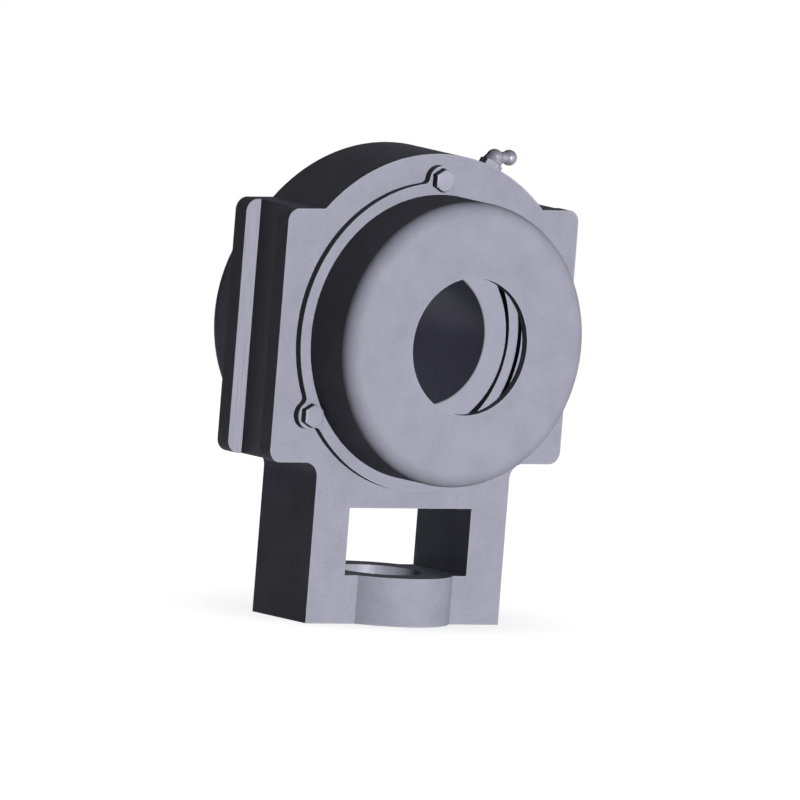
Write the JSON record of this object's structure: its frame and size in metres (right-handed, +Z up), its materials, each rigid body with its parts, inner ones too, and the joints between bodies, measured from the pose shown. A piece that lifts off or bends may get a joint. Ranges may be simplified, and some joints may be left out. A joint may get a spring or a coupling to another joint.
{
  "type": "take up bearing unit",
  "caption": "Cast take-up housing with side guide slots, nut window and screw boss, holding a self-aligning insert ball bearing under two bolted open end covers.",
  "frame": {"origin": "centre of the shaft bore in the mid plane of the housing", "axes": "+Y along the shaft axis towards the long side of the inner ring, +Z up from the adjusting screw to the cap, +X to the right seen from the front cover"},
  "size_m": [0.167, 0.12, 0.224],
  "materials": {
    "casting": "satin pale grey paint over sand cast iron",
    "bolt": "bright zinc plated steel",
    "bearing_steel": "ground and honed bearing steel",
    "set_screw": "black oxide steel",
    "cage_steel": "pressed sheet steel",
    "seal_rubber": "moulded black nitrile rubber",
    "fitting": "zinc plated steel"
  },
  "bodies": {
    "housing": {"housing": "casting", "front_cover": "casting", "rear_cover": "casting", "front_cover_bolt_1": "bolt", "front_cover_bolt_2": "bolt", "front_cover_bolt_3": "bolt", "rear_cover_bolt_1": "bolt", "rear_cover_bolt_2": "bolt", "rear_cover_bolt_3": "bolt", "grease_fitting": "fitting", "fitting_spring": "fitting"},
    "outer_ring": {"outer_ring": "bearing_steel", "front_seal": "seal_rubber", "rear_seal": "seal_rubber"},
    "inner_ring": {"inner_ring": "bearing_steel", "set_screw_1": "set_screw", "set_screw_2": "set_screw"},
    "cage": {"cage_front": "cage_steel", "cage_rear": "cage_steel", "cage_rivet_01": "cage_steel", "cage_rivet_02": "cage_steel", "cage_rivet_03": "cage_steel", "cage_rivet_04": "cage_steel", "cage_rivet_05": "cage_steel", "cage_rivet_06": "cage_steel", "cage_rivet_07": "cage_steel", "cage_rivet_08": "cage_steel", "cage_rivet_09": "cage_steel", "cage_rivet_10": "cage_steel"},
    "ball_01": {"ball_01": "bearing_steel"},
    "ball_02": {"ball_02": "bearing_steel"},
    "ball_03": {"ball_03": "bearing_steel"},
    "ball_04": {"ball_04": "bearing_steel"},
    "ball_05": {"ball_05": "bearing_steel"},
    "ball_06": {"ball_06": "bearing_steel"},
    "ball_07": {"ball_07": "bearing_steel"},
    "ball_08": {"ball_08": "bearing_steel"},
    "ball_09": {"ball_09": "bearing_steel"},
    "ball_10": {"ball_10": "bearing_steel"},
    "check_ball": {"fitting_ball": "fitting"}
  },
  "joints": [
    {"name": "self_align", "type": "hinge", "parent": "housing", "child": "outer_ring", "pos_m": [0, 0, 0], "axis": [1, 0, 0], "range_deg": [-2, 2]},
    {"name": "shaft_spin", "type": "hinge", "parent": "outer_ring", "child": "inner_ring", "pos_m": [0, 0, 0], "axis": [0, 1, 0], "continuous": true},
    {"name": "cage_spin", "type": "hinge", "parent": "outer_ring", "child": "cage", "pos_m": [0, 0, 0], "axis": [0, 1, 0], "continuous": true},
    {"name": "ball_01_roll", "type": "hinge", "parent": "cage", "child": "ball_01", "pos_m": [0, 0, 0.0483], "axis": [0, 1, 0], "continuous": true},
    {"name": "ball_02_roll", "type": "hinge", "parent": "cage", "child": "ball_02", "pos_m": [-0.02839, 0, 0.03908], "axis": [0, 1, 0], "continuous": true},
    {"name": "ball_03_roll", "type": "hinge", "parent": "cage", "child": "ball_03", "pos_m": [-0.04594, 0, 0.01493], "axis": [0, 1, 0], "continuous": true},
    {"name": "ball_04_roll", "type": "hinge", "parent": "cage", "child": "ball_04", "pos_m": [-0.04594, 0, -0.01493], "axis": [0, 1, 0], "continuous": true},
    {"name": "ball_05_roll", "type": "hinge", "parent": "cage", "child": "ball_05", "pos_m": [-0.02839, 0, -0.03908], "axis": [0, 1, 0], "continuous": true},
    {"name": "ball_06_roll", "type": "hinge", "parent": "cage", "child": "ball_06", "pos_m": [0, 0, -0.0483], "axis": [0, 1, 0], "continuous": true},
    {"name": "ball_07_roll", "type": "hinge", "parent": "cage", "child": "ball_07", "pos_m": [0.02839, 0, -0.03908], "axis": [0, 1, 0], "continuous": true},
    {"name": "ball_08_roll", "type": "hinge", "parent": "cage", "child": "ball_08", "pos_m": [0.04594, 0, -0.01493], "axis": [0, 1, 0], "continuous": true},
    {"name": "ball_09_roll", "type": "hinge", "parent": "cage", "child": "ball_09", "pos_m": [0.04594, 0, 0.01493], "axis": [0, 1, 0], "continuous": true},
    {"name": "ball_10_roll", "type": "hinge", "parent": "cage", "child": "ball_10", "pos_m": [0.02839, 0, 0.03908], "axis": [0, 1, 0], "continuous": true},
    {"name": "check_ball_lift", "type": "slide", "parent": "housing", "child": "check_ball", "axis": [-1, 0, 0], "range_m": [0, 0.0015], "stiffness_N_per_m": 100, "springref_m": -0.001, "deforming": ["fitting_spring"]}
  ],
  "couplings": [
    {"joint": "cage_spin", "follows": "shaft_spin", "ratio": 0.41784},
    {"joint": "ball_01_roll", "follows": "shaft_spin", "ratio": -2.9605},
    {"joint": "ball_02_roll", "follows": "shaft_spin", "ratio": -2.9605},
    {"joint": "ball_03_roll", "follows": "shaft_spin", "ratio": -2.9605},
    {"joint": "ball_04_roll", "follows": "shaft_spin", "ratio": -2.9605},
    {"joint": "ball_05_roll", "follows": "shaft_spin", "ratio": -2.9605},
    {"joint": "ball_06_roll", "follows": "shaft_spin", "ratio": -2.9605},
    {"joint": "ball_07_roll", "follows": "shaft_spin", "ratio": -2.9605},
    {"joint": "ball_08_roll", "follows": "shaft_spin", "ratio": -2.9605},
    {"joint": "ball_09_roll", "follows": "shaft_spin", "ratio": -2.9605},
    {"joint": "ball_10_roll", "follows": "shaft_spin", "ratio": -2.9605}
  ]
}
